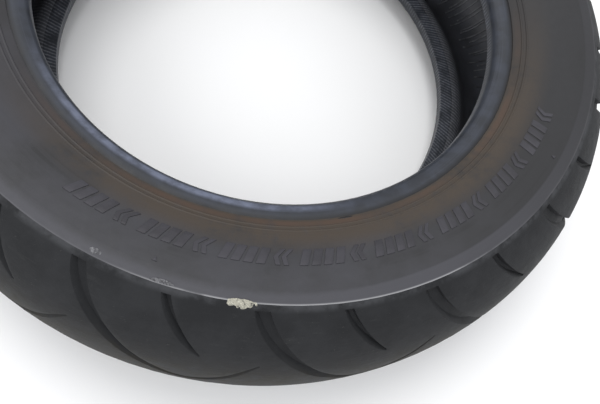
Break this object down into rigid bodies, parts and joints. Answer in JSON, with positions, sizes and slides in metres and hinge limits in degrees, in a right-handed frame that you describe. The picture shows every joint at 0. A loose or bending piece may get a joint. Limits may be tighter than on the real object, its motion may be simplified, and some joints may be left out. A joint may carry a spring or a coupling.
{
  "type": "motorcycle tire",
  "caption": "Used tubeless touring motorcycle rear tire lying on its side, with boomerang tread grooves, worn crown, plain sidewalls, layered plies, belts and wired beads.",
  "frame": {"origin": "centre of the tire: on its axis and on its mid plane", "axes": "+Z along the tire's axis, up as it lies on its side; X and Y are two radii"},
  "size_m": [0.6589, 0.659, 0.184],
  "materials": {
    "tread_rubber": "matte",
    "base_rubber": "matte",
    "belt_cord": "matte",
    "ply_cord": "matte",
    "strip_rubber": "matte",
    "liner_rubber": "satin",
    "sidewall_rubber": "satin",
    "bead_rubber": "satin",
    "filler_rubber": "matte",
    "insulation_rubber": "matte",
    "bead_wire": "satin",
    "wrap_fabric": "matte",
    "chafer_fabric": "matte"
  },
  "bodies": {
    "root": {"tread_cap": "tread_rubber", "tread_base": "base_rubber", "belt_ply_outer": "belt_cord", "belt_ply_inner": "belt_cord", "belt_edge_strip_top": "strip_rubber", "belt_edge_strip_bottom": "strip_rubber", "carcass_ply_outer": "ply_cord", "carcass_ply_inner": "ply_cord", "inner_liner": "liner_rubber", "sidewall_top": "sidewall_rubber", "sidewall_bottom": "sidewall_rubber", "rim_cushion_top": "bead_rubber", "rim_cushion_bottom": "bead_rubber", "bead_chafer_top": "chafer_fabric", "bead_chafer_bottom": "chafer_fabric", "bead_filler_top": "filler_rubber", "bead_filler_bottom": "filler_rubber", "bead_flipper_top": "wrap_fabric", "bead_flipper_bottom": "wrap_fabric", "bead_wrap_top": "wrap_fabric", "bead_wrap_bottom": "wrap_fabric", "bead_insulation_top": "insulation_rubber", "bead_insulation_bottom": "insulation_rubber", "bead_wires_top": "bead_wire", "bead_wires_bottom": "bead_wire"}
  },
  "joints": []
}
